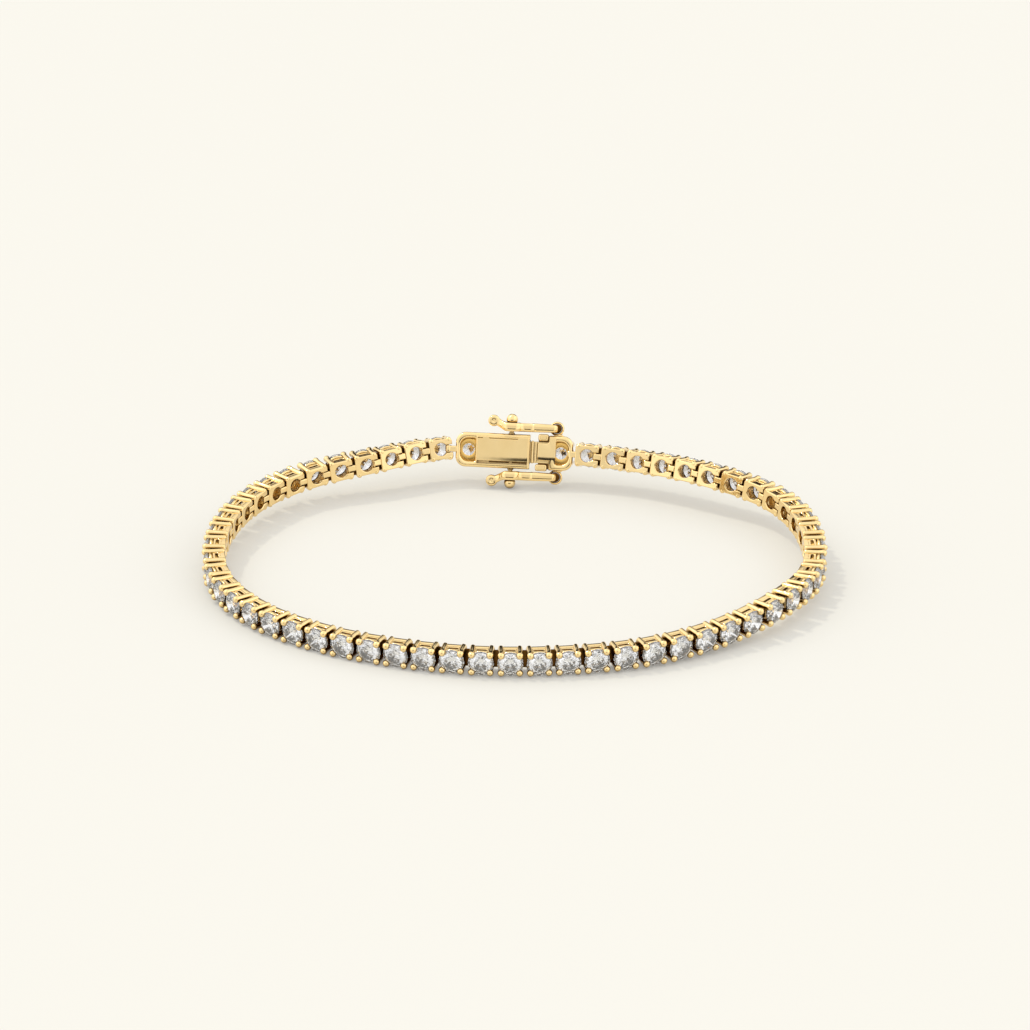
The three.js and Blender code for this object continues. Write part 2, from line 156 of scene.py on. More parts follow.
# Finishes
GOLD_LOW = (0.93, 0.685, 0.32)
GOLD_HIGH = (0.96, 0.725, 0.36)
# Painted shade: gold turns towards this brown where other surfaces lie within the reach below
CREVICE_SHADE_COLOUR = (0.13, 0.055, 0.008)
CREVICE_SHADE_REACH = 1.4 * MM
CREVICE_SHADE_OPEN = (0.2, 0.68)
RIPPLE_HEIGHT = 0.04 * MM
DIAMOND_IOR = 2.417
DIAMOND_CLEARNESS = 0.95
FLOOR_LOW = (0.496, 0.485, 0.453)
FLOOR_HIGH = (0.5, 0.489, 0.457)
FLOOR_GLOW = (0.25, 0.245, 0.226)
NOISE_RANGE = (0.3, 0.7)
PATCH_SCALE, RUB_SCALE, CAST_SCALE, HAZE_SCALE = 420, 1500, 900, 700  # per metre

# Light; the cards and boxes are placed by the x, y and z of a direction of length 1
SUN_TRAVEL = (0.59, -0.265, -1.0)
SUN_ENERGY = 0.75
SUN_SIZE = math.radians(3)
SUN_COLOUR = (1, 0.95, 0.78)
DOME_STRENGTH = 1.05
DOME_SHADES = (0.84, 1.1)
DOME_RISE = (0.36, 0.7)
CARD_DARK = 0.03
CARD_FRONT = (0.17, 0.27)  # z where its edge begins and ends, in front and behind
CARD_BACK = (0.22, 0.58)
CARD_SIDE = (0.34, 0.5)
SIDE_BOXES = 1.45
SIDE_BOX_EDGE = (0.4, 0.8)
SOFT_BOX = 0.35
SOFT_BOX_EDGE = (0.86, 0.94)  # cosine of the angle to the sun

# Camera, fitted to the photograph
CAMERA_ELEVATION = math.radians(24.7)
CAMERA_AZIMUTH = math.radians(-4.97)
CAMERA_TARGET = (-1.291, 15.417, 0.0)
CAMERA_DISTANCE = 700.0
FOCAL_PIXELS = 6268.8
PHOTO_PIXELS = 1030
SENSOR_WIDTH = 36.0


# Shapes: a shape is (corners, faces, smooth flags)

def merged(*shapes):
    corners, faces, smooth, base = [], [], [], 0
    for v, f, s in shapes:
        corners.append(np.asarray(v, float))
        faces += [[i + base for i in face] for face in f]
        smooth += list(s)
        base += len(v)
    return np.vstack(corners), faces, smooth


def moved(shape, offset=(0, 0, 0), turn=None, scale=(1, 1, 1)):
    v, f, s = shape
    v = np.asarray(v, float) * np.asarray(scale, float)
    if turn is not None:
        v = v @ np.array(turn.to_3x3()).T
    flipped = np.prod(scale) < 0
    return v + np.asarray(offset, float), [face[::-1] for face in f] if flipped else f, s


def lathe(profile, sides):
    """Profile of (radius, z) from bottom to top, on the axis at both ends, turned about Z."""
    corners, rings, faces = [], [], []
    for r, z in profile:
        if r < NEAR_ZERO:
            rings.append([len(corners)] * sides)
            corners.append((0, 0, z))
            continue
        ring = []
        for k in range(sides):
            a = 2 * math.pi * k / sides
            ring.append(len(corners))
            corners.append((r * math.cos(a), r * math.sin(a), z))
        rings.append(ring)
    for low, high in zip(rings, rings[1:]):
        for k in range(sides):
            j = (k + 1) % sides
            face = [low[k], low[j], high[j], high[k]]
            face = [i for n, i in enumerate(face) if i != face[n - 1]]
            if len(face) > 2:
                faces.append(face)
    return np.array(corners), faces, [True] * len(faces)


def rim(bottom, top, low_bevel, high_bevel, steps):
    """A side with rounded rims from bottom to top, as (distance inwards, z)."""
    levels = []
    for k in range(steps + 1):
        a = math.pi / 2 * k / steps
        levels.append((low_bevel * (1 - math.sin(a)), bottom + low_bevel * (1 - math.cos(a))))
    for k in range(steps + 1):
        a = math.pi / 2 * (1 - k / steps)
        levels.append((high_bevel * (1 - math.sin(a)), top - high_bevel * (1 - math.cos(a))))
    return levels


def round_profile(radius, bottom, top, rounding):
    """A rod's profile with rounded ends."""
    side = [(radius - inwards, z) for inwards, z in rim(bottom, top, rounding, rounding, 4)]
    points = [(0, bottom), *side, (0, top)]
    return [p for n, p in enumerate(points) if n == 0 or math.dist(p, points[n - 1]) > 1e-5]


def ball_profile(radius, centre, rings):
    angles = [math.pi * k / rings for k in range(rings + 1)]
    return [(radius * math.sin(a), centre - radius * math.cos(a)) for a in angles]


def turned(loop, sides):
    """A ring: a closed loop of (radius, z), none of it on the axis, turned about Z."""
    size = len(loop)
    corners, faces = [], []
    for i in range(sides):
        a = 2 * math.pi * i / sides
        corners += [(r * math.cos(a), r * math.sin(a), z) for r, z in loop]
        n = (i + 1) % sides
        for j in range(size):
            m = (j + 1) % size
            faces.append([i * size + j, n * size + j, n * size + m, i * size + m])
    return np.array(corners), faces, [True] * len(faces)


def torus(radius, wire, height, sides, wire_sides):
    """A ring whose wire is an ellipse, wire across and height up from its middle."""
    angles = [2 * math.pi * j / wire_sides for j in range(wire_sides)]
    return turned([(radius + wire * math.cos(b), height * math.sin(b)) for b in angles], sides)


def area(loop):
    x, y = np.array(loop).T
    return 0.5 * float(np.sum(x * np.roll(y, -1) - np.roll(x, -1) * y))


def inset(loop, distance):
    """The loop moved towards its left side by distance, so material stays on that side."""
    p = np.array(loop, float)
    before, after = p - np.roll(p, 1, 0), np.roll(p, -1, 0) - p
    before /= np.linalg.norm(before, axis=1)[:, None]
    after /= np.linalg.norm(after, axis=1)[:, None]
    n1 = np.column_stack([-before[:, 1], before[:, 0]])
    n2 = np.column_stack([-after[:, 1], after[:, 0]])
    sharpest = 0.35
    share = np.maximum(1 + np.sum(n1 * n2, axis=1), sharpest)
    return p + distance * (n1 + n2) / share[:, None]


def prism(loops, bottom, top, bevel, steps, bottom_bevel=None):
    """Outline loops[0] with holes loops[1:], from bottom to top, with rounded rims."""
    low_bevel = bevel if bottom_bevel is None else bottom_bevel
    oriented = []
    for n, loop in enumerate(loops):
        wanted = 1 if n == 0 else -1
        oriented.append(np.array(loop)[:: 1 if area(loop) * wanted > 0 else -1])
    corners, faces, smooth = [], [], []
    caps = {0: [], 1: []}
    for loop in oriented:
        size = len(loop)
        levels = rim(bottom, top, low_bevel, bevel, steps)
        base = len(corners)
        for inwards, z in levels:
            corners += [(x, y, z) for x, y in inset(loop, inwards)]
        for k in range(len(levels) - 1):
            for i in range(size):
                j = (i + 1) % size
                faces.append([base + k * size + i, base + k * size + j,
                              base + (k + 1) * size + j, base + (k + 1) * size + i])
                smooth.append(True)
        caps[0].append(list(range(base, base + size)))
        caps[1].append(list(range(base + (len(levels) - 1) * size, base + len(levels) * size)))
    for side, rings in caps.items():
        flat = [i for ring in rings for i in ring]
        if len(rings) == 1:
            faces.append(rings[0] if side else rings[0][::-1])
            smooth.append(False)
            continue
        outline = [[Vector((corners[i][0], corners[i][1], 0)) for i in ring] for ring in rings]
        for tri in tessellate_polygon(outline):
            a, b, c = (np.array(corners[flat[i]][:2]) for i in tri)
            up = (b - a)[0] * (c - a)[1] - (b - a)[1] * (c - a)[0] > 0
            face = [flat[i] for i in tri]
            faces.append(face if up == bool(side) else face[::-1])
            smooth.append(False)
    return np.array(corners, float), faces, smooth


def arc(cx, cy, radius, start, end, steps):
    """Points on an arc; start and end in degrees."""
    angles = [math.radians(start + (end - start) * k / steps) for k in range(steps + 1)]
    return [(cx + radius * math.cos(a), cy + radius * math.sin(a)) for a in angles]


def rounded(x0, x1, y0, y1, radius, steps):
    return (arc(x1 - radius, y1 - radius, radius, 0, 90, steps)
            + arc(x0 + radius, y1 - radius, radius, 90, 180, steps)
            + arc(x0 + radius, y0 + radius, radius, 180, 270, steps)
            + arc(x1 - radius, y0 + radius, radius, 270, 360, steps))


def circle(cx, cy, radius, steps):
    return arc(cx, cy, radius, 0, 360 - 360 / steps, steps - 1)


def mirrored(half):
    """A closed loop from its half at y >= 0."""
    return list(half) + [(x, -y) for x, y in reversed(half) if abs(y) > NEAR_ZERO]


def thinned(loop):
    """The loop without points that lie closer than least to the one before."""
    least = 0.02
    kept = [loop[0]]
    for p in loop[1:]:
        if math.dist(p, kept[-1]) > least:
            kept.append(p)
    if math.dist(kept[0], kept[-1]) <= least:
        kept.pop()
    return kept


# Stones

def brilliant(x):
    """A round brilliant with 57 facets and a faceted girdle, centred on x."""
    high, low = GIRDLE + GIRDLE_BAND / 2, GIRDLE - GIRDLE_BAND / 2
    table_z, culet_z = GIRDLE + CROWN_HEIGHT, GIRDLE - PAVILION_DEPTH
    table = STONE_RADIUS * TABLE_SHARE
    step = math.pi / 8
    slope = (table_z - high) / (STONE_RADIUS - table)
    star = table * math.cos(step) + STAR_SHARE * (STONE_RADIUS - table * math.cos(step))
    star_z = table_z - slope * (star * math.cos(step) - table)
    lower = LOWER_SHARE * STONE_RADIUS
    lower_z = culet_z + (low - culet_z) / STONE_RADIUS * lower * math.cos(step)

    def ring(r, z, count, turn=0.0):
        return [(r * math.cos(turn + 2 * math.pi * k / count),
                 r * math.sin(turn + 2 * math.pi * k / count), z) for k in range(count)]

    corners = (ring(table, table_z, 8) + ring(star, star_z, 8, step)
               + ring(STONE_RADIUS, high, 16) + ring(STONE_RADIUS, low, 16)
               + ring(lower, lower_z, 8, step) + [(0, 0, culet_z)])
    # First corners of the table, the stars, the girdle's two rings, the lower ring and the culet
    T, S, G, B, L, C = 0, 8, 16, 32, 48, 56
    faces = [[T + k for k in range(8)]]
    for k in range(8):
        n, p = (k + 1) % 8, (k - 1) % 8
        g, mid, end = G + 2 * k, G + 2 * k + 1, G + (2 * k + 2) % 16
        faces.append([T + k, S + k, T + n])
        faces.append([T + k, S + p, g, S + k])
        faces += [[S + k, g, mid], [S + k, mid, end]]
        b, bmid, bend = B + 2 * k, B + 2 * k + 1, B + (2 * k + 2) % 16
        faces += [[b, bmid, mid, g], [bmid, bend, end, mid]]
        faces += [[L + k, bmid, b], [L + k, bend, bmid]]
        faces.append([C, L + k, b, L + p])
    corners = np.array(corners)
    corners[:, 0] += x
    out = []
    inside = np.array([x, 0, GIRDLE - 0.2])
    for face in faces:
        a, b, c = corners[face[0]], corners[face[1]], corners[face[2]]
        normal = np.cross(b - a, c - a)
        middle = corners[face].mean(axis=0)
        out.append(face if normal @ (middle - inside) > 0 else face[::-1])
    return corners, out, [False] * len(out)


# One link

def prong(x, y, bottom):
    """A round bar whose foot is domed and whose top is the bead that holds the stone."""
    turns = [math.pi / 2 * k / 5 for k in range(6)]
    profile = [(BAR_RADIUS * math.sin(a), bottom + BAR_FOOT * (1 - math.cos(a))) for a in turns]
    profile += [(BAR_RADIUS, 1.45), (BAR_RADIUS + 0.01, 1.75), (BAR_RADIUS + 0.04, 1.98)]
    centre = BAR_TOP - BEAD_RADIUS
    for angle in BEAD_ANGLES:
        a = math.radians(angle)
        profile.append((BEAD_RADIUS * math.cos(a), centre + BEAD_RADIUS * math.sin(a)))
    return moved(lathe([*profile, (0, BAR_TOP)], 16), (x, y, 0))


def setting(x, bottom):
    """Four prongs with bead heads and the gallery ring under the girdle."""
    bars = [prong(x + sx * BAR_ALONG, sy * BAR_ACROSS, bottom)
            for sx in (-1, 1) for sy in (-1, 1)]
    ring = moved(torus(*GALLERY_RING, 36, 10), (x, 0, GALLERY_LEVEL))
    return merged(*bars, ring)


def plate_loop():
    """Inner plate: straight edges between the bars, and a round hole open to the rear notch."""
    edge, corner, tab_side = 1.12, 0.26, 0.35
    opening = math.degrees(math.asin(NOTCH_HALF / HOLE_RADIUS))
    half = [(REAR_EDGE, NOTCH_HALF)]
    half += arc(REAR_EDGE + corner, edge - corner, corner, 180, 90, 5)
    half += arc(FRONT_EDGE - corner, edge - corner, corner, 90, 0, 5)
    half += [(FRONT_EDGE, tab_side)]
    outer = half + [(x, -y) for x, y in reversed(half)]
    inner = arc(STONE_X, 0, HOLE_RADIUS, -(180 - opening), 180 - opening, 28)
    return thinned(outer + inner)


def cup():
    """The cone between the inner plate's hole and the stone."""
    return moved(turned(CUP_PROFILE, 32), (STONE_X, 0, 0))


def side_panel():
    """The wall between two bars, with a round hole by the plate and a long one by the stone."""
    outline = rounded(STONE_X - 0.8, STONE_X + 0.8, 0.12, 1.4, 0.1, 3)
    small = circle(STONE_X, 0.42, 0.13, 14)
    long = rounded(STONE_X - 0.6, STONE_X + 0.6, 0.8, 1.13, 0.15, 4)
    return moved(prism([outline, small, long], -1.08, -0.9, 0.05, 2), turn=UPRIGHT)


def tab(start, pin):
    """The tongue in the plate's level that reaches from start to just past the next pin."""
    loop = rounded(start, pin + TAB_OVERRUN, -TAB_HALF, TAB_HALF, 0.14, 4)
    return prism([loop], 0.06, 0.5, 0.1, 3, 0.14)


def pin_rod(x, radius, length, sides=12):
    rod = lathe(round_profile(radius, -length / 2, length / 2, radius * 0.35), sides)
    return moved(rod, (x, 0, HINGE_HEIGHT), UPRIGHT)


def link():
    """The polished metal of one link."""
    plate = prism([plate_loop()], 0.03, 0.56, 0.07, 3, 0.1)
    panel = side_panel()
    other = moved(panel, scale=(1, -1, 1))
    reach = tab(FRONT_EDGE - 0.1, LINK_PITCH)
    return merged(plate, panel, other, setting(STONE_X, 0.0), reach, pin_rod(0, 0.13, 1.5))


def bridge():
    """The plate between the joint and the stones, which closes the gap to the next link; its dark
    colour is painted shade.
    """
    start, end = FRONT_EDGE - BRIDGE_OVERLAP, LINK_PITCH + REAR_EDGE + BRIDGE_OVERLAP
    return prism([rounded(start, end, -BRIDGE_HALF, BRIDGE_HALF, 0.1, 3)], 0.6, 0.78, 0.06, 2)


# Route of the hinge pins, as in the part

def curve_points(points):
    count = len(points)
    t = np.arange(ROUTE_SAMPLES + 1) / ROUTE_SAMPLES * count
    i = np.floor(t).astype(int)
    w = (t - i)[:, None]
    p = [points[(i + k) % count] for k in (-1, 0, 1, 2)]
    d = [np.sum((p[k + 1] - p[k]) ** 2, 1)[:, None] ** 0.25 for k in range(3)]
    t1 = ((p[1] - p[0]) / d[0] - (p[2] - p[0]) / (d[0] + d[1]) + (p[2] - p[1]) / d[1]) * d[1]
    t2 = ((p[2] - p[1]) / d[1] - (p[3] - p[1]) / (d[1] + d[2]) + (p[3] - p[2]) / d[2]) * d[1]
    cubic = 2 * p[1] - 2 * p[2] + t1 + t2
    square = -3 * p[1] + 3 * p[2] - 2 * t1 - t2
    return p[1] + t1 * w + square * w ** 2 + cubic * w ** 3


def walk(samples):
    pins, k = [samples[0]], 1
    while len(pins) <= LINK_COUNT:
        while math.dist(samples[k % ROUTE_SAMPLES], pins[-1]) < LINK_PITCH:
            k += 1
        step = samples[k % ROUTE_SAMPLES] - pins[-1]
        pins.append(pins[-1] + step * (LINK_PITCH / np.linalg.norm(step)))
    return np.array(pins)


def closed_pins():
    """The pins on the route, scaled until the clasp spans the rest, with the clasp along X."""
    route = np.array(ROUTE)

    def samples(scale):
        height = LINK_WIDTH / 2 + route[:, 2] * CLASP_LIFT
        return curve_points(np.column_stack([route[:, :2] * scale, height]))

    length = np.sum(np.linalg.norm(np.diff(samples(1.0), axis=0), axis=1))
    middle = (LINK_COUNT * LINK_PITCH + CLASP_SPAN) / length
    low, high = middle * 0.9, middle * 1.1
    for _ in range(30):
        trial = (low + high) / 2
        pins = walk(samples(trial))
        if np.linalg.norm(pins[0] - pins[-1]) > CLASP_SPAN:
            high = trial
        else:
            low = trial
    pins = walk(samples(low))
    across_clasp = pins[-1] - pins[0]
    turn = -math.atan2(across_clasp[1], across_clasp[0])
    c, s = math.cos(turn), math.sin(turn)
    x, y, z = pins.T
    return np.column_stack([x * c - y * s, x * s + y * c, z])


def lean_of(index):
    """Lean of one link, which fades out with a smooth step away from the clasp."""
    share = min((index + 0.5) / LEFT_LEAN_LINKS, (LINK_COUNT - index - 0.5) / RIGHT_LEAN_LINKS, 1)
    return LEAN * (1 - share * share * (3 - 2 * share))


def basis(start, end, lean):
    """Matrix that places a shape of the link's frame between two pins."""
    forward = (end - start) / np.linalg.norm(end - start)
    level = np.array([0, 0, 1.0]) - forward * forward[2]
    level /= np.linalg.norm(level)
    up = level * math.cos(lean) + np.cross(forward, level) * math.sin(lean)
    outward = np.cross(forward, up)
    matrix = np.eye(4)
    matrix[:3, 0], matrix[:3, 1], matrix[:3, 2] = forward, up, outward
    matrix[:3, 3] = start - outward * HINGE_HEIGHT
    return matrix


def joint_point(name):
    found = next(j for j in frame["joints"] if j["name"] == name)
    return np.array(found["pos_m"]) / MM


pins = closed_pins()
raw_clasp = basis(pins[LINK_COUNT], pins[0], LEAN)
raw_hinge = (raw_clasp @ np.array([HINGE_X, SAFETY_REACH, CLASP_MIDDLE, 1]))[:3]
pins = pins + (joint_point("upper_catch_hinge") - raw_hinge)
CLASP = basis(pins[LINK_COUNT], pins[0], LEAN)


def placed(shape, matrix):
    v, f, s = shape
    return np.asarray(v) @ matrix[:3, :3].T + matrix[:3, 3], f, s


def piece(name, shape, material, body, slot, *nodes, crease=50):
    """An object of the shape, in metres; edges sharper than crease degrees stay sharp."""
    corners, faces, smooth = shape
    mesh = bpy.data.meshes.new(name)
    mesh.from_pydata((np.asarray(corners) * MM).tolist(), [], faces)
    mesh.polygons.foreach_set("use_smooth", smooth)
    mesh.update()
    if any(smooth):
        mesh.set_sharp_from_angle(angle=math.radians(crease))
        # That call makes every face smooth, so the flat ones are set again
        mesh.polygons.foreach_set("use_smooth", smooth)
    obj = bpy.data.objects.new(name, mesh)
    bpy.context.scene.collection.objects.link(obj)
    mesh.materials.append(material)
    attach(obj, body)
    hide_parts(*nodes)
    return obj


# Materials

def nodes_of(material):
    material.use_nodes = True
    tree = material.node_tree
    shader = next(n for n in tree.nodes if n.type == "BSDF_PRINCIPLED")
    return tree, shader


def noise(tree, scale, detail):
    coords = tree.nodes.get("coords")
    if coords is None:
        coords = tree.nodes.new("ShaderNodeTexCoord")
        coords.name = "coords"
    node = tree.nodes.new("ShaderNodeTexNoise")
    node.inputs["Scale"].default_value = scale
    node.inputs["Detail"].default_value = detail
    tree.links.new(coords.outputs["Object"], node.inputs["Vector"])
    return node.outputs["Fac"]


def ramp(tree, source, low, high):
    node = tree.nodes.new("ShaderNodeValToRGB")
    for element, position, colour in zip(node.color_ramp.elements, NOISE_RANGE, (low, high)):
        element.position = position
        element.color = (*colour, 1)
    tree.links.new(source, node.inputs["Fac"])
    return node.outputs["Color"]


def span(tree, source, start, end, low, high):
    """The source from start to end mapped to low to high."""
    node = tree.nodes.new("ShaderNodeMapRange")
    ends = (("From Min", start), ("From Max", end), ("To Min", low), ("To Max", high))
    for name, value in ends:
        node.inputs[name].default_value = value
    tree.links.new(source, node.inputs["Value"])
    return node.outputs["Result"]


def bump(tree, source, strength):
    node = tree.nodes.new("ShaderNodeBump")
    node.inputs["Strength"].default_value = strength
    node.inputs["Distance"].default_value = RIPPLE_HEIGHT
    tree.links.new(source, node.inputs["Height"])
    return node.outputs["Normal"]


def crevice_shade(tree, colour):
    """The colour, browner and darker where the surface lies deep between others: painted shade."""
    depth = tree.nodes.new("ShaderNodeAmbientOcclusion")
    depth.samples = 6
    depth.inputs["Distance"].default_value = CREVICE_SHADE_REACH
    mix = tree.nodes.new("ShaderNodeMix")
    mix.data_type = "RGBA"
    mix.inputs["A"].default_value = (*CREVICE_SHADE_COLOUR, 1)
    open_share = span(tree, depth.outputs["AO"], *CREVICE_SHADE_OPEN, 0.0, 1.0)
    tree.links.new(open_share, mix.inputs["Factor"])
    tree.links.new(colour, mix.inputs["B"])
    return mix.outputs["Result"]


def gold_material(name, rough_low, rough_high, ripple):
    """Polished gold with slight patches, rubbed spots, the ripple of casting and painted shade in
    its crevices.
    """
    material = bpy.data.materials.new(name)
    tree, shader = nodes_of(material)
    shader.inputs["Metallic"].default_value = 1.0
    # The base colour carries painted shade, darker deep between other surfaces
    colour = crevice_shade(tree, ramp(tree, noise(tree, PATCH_SCALE, 2), GOLD_LOW, GOLD_HIGH))
    rubbed, cast = noise(tree, RUB_SCALE, 3), noise(tree, CAST_SCALE, 2)
    roughness = span(tree, rubbed, *NOISE_RANGE, rough_low, rough_high)
    tree.links.new(colour, shader.inputs["Base Color"])
    tree.links.new(roughness, shader.inputs["Roughness"])
    tree.links.new(bump(tree, cast, ripple), shader.inputs["Normal"])
    return material


def inner_material(name, low, high):
    """Rougher gold of the inner walls, which the polishing wheel doesn't reach, in a darker colour
    that is painted shade.
    """
    material = bpy.data.materials.new(name)
    tree, shader = nodes_of(material)
    shader.inputs["Metallic"].default_value = 1.0
    grain = noise(tree, CAST_SCALE, 2)
    roughness = span(tree, grain, *NOISE_RANGE, 0.22, 0.32)
    tree.links.new(ramp(tree, grain, low, high), shader.inputs["Base Color"])
    tree.links.new(roughness, shader.inputs["Roughness"])
    return material


def diamond_material():
    material = bpy.data.materials.new("diamond_clear")
    tree, shader = nodes_of(material)
    shader.inputs["Transmission Weight"].default_value = DIAMOND_CLEARNESS
    shader.inputs["IOR"].default_value = DIAMOND_IOR
    shader.inputs["Roughness"].default_value = 0.0
    colour = ramp(tree, noise(tree, HAZE_SCALE, 2), (0.97, 0.975, 0.98), (1, 1, 1))
    tree.links.new(colour, shader.inputs["Base Color"])
    return material


GOLD = gold_material("gold_polished", 0.06, 0.11, 0.2)
GOLD_FLAT = gold_material("gold_satin", 0.09, 0.14, 0.1)
# Darker, oranger gold of the cones and seats: painted shade inside the settings
GOLD_CUP_SHADE = inner_material("gold_cup_shade", (0.78, 0.48, 0.13), (0.84, 0.54, 0.17))
# Near-black gold of the bridges and catch pins: painted shade in the gaps between links and in the
# hinge rings
GOLD_PAINTED_SHADE = inner_material("gold_painted_shade", (0.09, 0.04, 0.007), (0.15, 0.065, 0.012))
DIAMOND = diamond_material()

# Chain

LINK, CUP, BRIDGE = link(), cup(), bridge()
STONE = brilliant(STONE_X)
for name, first, last in (("chain_left", 0, LEFT_LINKS), ("chain_right", LEFT_LINKS, LINK_COUNT)):
    frames = [basis(pins[i], pins[i + 1], lean_of(i)) for i in range(first, last)]
    metal = merged(*[placed(LINK, m) for m in frames])
    cups = merged(*[placed(CUP, m) for m in frames])
    # The last link has no bridge, because the clasp follows it
    bridges = merged(*[placed(BRIDGE, m) for m in frames[: LINK_COUNT - 1 - first]])
    stones = merged(*[placed(STONE, m) for m in frames])
    piece(name + "_links", metal, GOLD, "bracelet", "gold", name)
    piece(name + "_cups", cups, GOLD_CUP_SHADE, "bracelet", "gold", name)
    # The bridges' near-black gold is painted shade in the gaps between links
    piece(name + "_bridges", bridges, GOLD_PAINTED_SHADE, "bracelet", "gold", name)
    piece(name + "_stones", stones, DIAMOND, "bracelet", "diamond", name)


# Clasp

def half_loop(square_x, round_x):
    """A clasp half seen from its inner face, square at one end and round at the other."""
    radius, steps = 1.1, 10
    along = math.copysign(radius, round_x - square_x)
    corner_y = CLASP_HALF - radius
    half = [(square_x, CLASP_HALF)]
    for k in range(steps + 1):
        a = math.pi / 2 * k / steps
        half.append((round_x - along * (1 - math.sin(a)), corner_y + radius * math.cos(a)))
    return mirrored(half)


def seat(x):
    """The cone inside a window that carries the stone and shows it from the inside."""
    return moved(turned(SEAT_PROFILE, 40), (x, 0, 0))


def window_loop(x0, x1, round_end):
    """The opening over a stone; round_end is 1 where its wide corners are at x1, -1 at x0."""
    big, small, half = 0.85, 0.2, 1.28
    r1, r0 = (big, small) if round_end > 0 else (small, big)
    return (arc(x1 - r1, half - r1, r1, 0, 90, 6) + arc(x0 + r0, half - r0, r0, 90, 180, 6)
            + arc(x0 + r0, -half + r0, r0, 180, 270, 6)
            + arc(x1 - r1, -half + r1, r1, 270, 360, 6))


def peg(side):
    """The rod with a ball head that the catch's eye goes over."""
    stem = lathe(round_profile(PEG_RADIUS, 0, BALL_REACH, 0.02), 16)
    head = lathe(ball_profile(*BALL_SHOWN, 16), 28)
    collar_profile = round_profile(COLLAR_RADIUS, CLASP_HALF - 0.06, CLASP_HALF + 0.14, 0.07)
    turn = Matrix.Rotation(-side * math.pi / 2, 4, "X")
    rod = merged(stem, head, lathe(collar_profile, 20))
    return moved(rod, (PEG_X, 0, CLASP_MIDDLE), turn)


def cut(shape, *tools):
    """shape with the tools cut away, through Blender's exact boolean."""
    objects = []
    for n, (v, f, s) in enumerate((shape, *tools)):
        mesh = bpy.data.meshes.new("cut_%d" % n)
        mesh.from_pydata(np.asarray(v).tolist(), [], f)
        mesh.polygons.foreach_set("use_smooth", s)
        obj = bpy.data.objects.new("cut_%d" % n, mesh)
        bpy.context.scene.collection.objects.link(obj)
        objects.append(obj)
    for tool in objects[1:]:
        modifier = objects[0].modifiers.new("cut", "BOOLEAN")
        modifier.operation = "DIFFERENCE"
        modifier.solver = "EXACT"
        modifier.object = tool
    bpy.context.view_layer.update()
    made = objects[0].evaluated_get(bpy.context.evaluated_depsgraph_get()).to_mesh()
    corners = np.array([v.co for v in made.vertices])
    faces = [list(p.vertices) for p in made.polygons]
    smooth = [p.use_smooth for p in made.polygons]
    for obj in objects:
        mesh = obj.data
        bpy.data.objects.remove(obj)
        bpy.data.meshes.remove(mesh)
    return corners, faces, smooth


def across(x0, x1, y0, y1, low, high, radius=0.08, bevel=0.05):
    """A rounded block seen from the inner face."""
    return prism([rounded(x0, x1, y0, y1, radius, 4)], low, high, bevel, 3)


def dipped(shape, onset, slope):
    """The shape with its side at low y curving away from the skin.

    onset has the y where that begins, at x = dip_start and a dip_length further on.
    """
    dip_start, dip_length, blend = 4, 6, 0.3
    v, f, s = shape
    mesh = bpy.data.meshes.new("dipped")
    mesh.from_pydata(np.asarray(v).tolist(), [], f)
    made = bmesh.new()
    made.from_mesh(mesh)
    bpy.data.meshes.remove(mesh)
    for level in np.arange(-1.9, -0.2, 0.1):
        whole = made.verts[:] + made.edges[:] + made.faces[:]
        bmesh.ops.bisect_plane(made, geom=whole, plane_co=(0, level, 0), plane_no=(0, 1, 0))
    corners = np.array([corner.co for corner in made.verts])
    made.verts.index_update()
    faces = [[corner.index for corner in face.verts] for face in made.faces]
    made.free()
    along = np.clip((corners[:, 0] - dip_start) / dip_length, 0, 1)
    start = onset[0] + (onset[1] - onset[0]) * along
    below = np.maximum(start - corners[:, 1], 0)
    fall = np.where(below < blend, below ** 2 / (2 * blend), below - blend / 2)
    corners[:, 2] += slope * fall
    return corners, faces, [True] * len(faces)


def clasp_box():
    """Shell with a raised rim, a plate set high in it so that a groove shows below, and pegs."""
    window = window_loop(10.55, 12.2, 1)
    shell = prism([half_loop(BOX_START, BOX_END), window], 0, CLASP_THICKNESS, SHELL_BEVEL, 6)
    room = across(BOX_START - 1, CAVITY_END, -1.35, 1.35, 0.2, 1.1, 0.05, 0.02)
    pocket = across(BOX_START - 1, 10.35, -1.5, 1.4, -1, 0.34, 0.05, 0.02)
    shell = cut(shell, room, pocket)
    x0, x1 = BOX_START + 0.06, 10.46
    slot = rounded(5.77, CAVITY_END, 1.36, 1.44, 0.035, 3)
    slot_end = rounded(9.75, 10.3, 1.36, 1.43, 0.03, 3)
    plate_outline = rounded(x0, x1, -1.14, 1.62, 0.12, 5)
    plate = prism([plate_outline, slot, slot_end], -0.1, 0.3, 0.05, 3, 0.07)
    plate = dipped(plate, (-0.45, -1.0), 0.12)
    ridges = [across(x, x + 0.17, -1.3, 1.55, -0.15, 0.1, 0.08) for x in (x0, x1 - 0.17)]
    lip_half = CLASP_HALF - 0.05
    lip = across(BOX_START, BOX_START + 0.3, -lip_half, lip_half, 0, 0.3, 0.12, 0.1)
    tail = merged(tab(BOX_END - 0.2, CLASP_SPAN), pin_rod(CLASP_SPAN, 0.35, 0.75, 16))
    held = setting(BOX_STONE_X, CLASP_SETTING_LEVEL)
    return merged(shell, held, peg(1), peg(-1), tail, lip, *ridges), plate


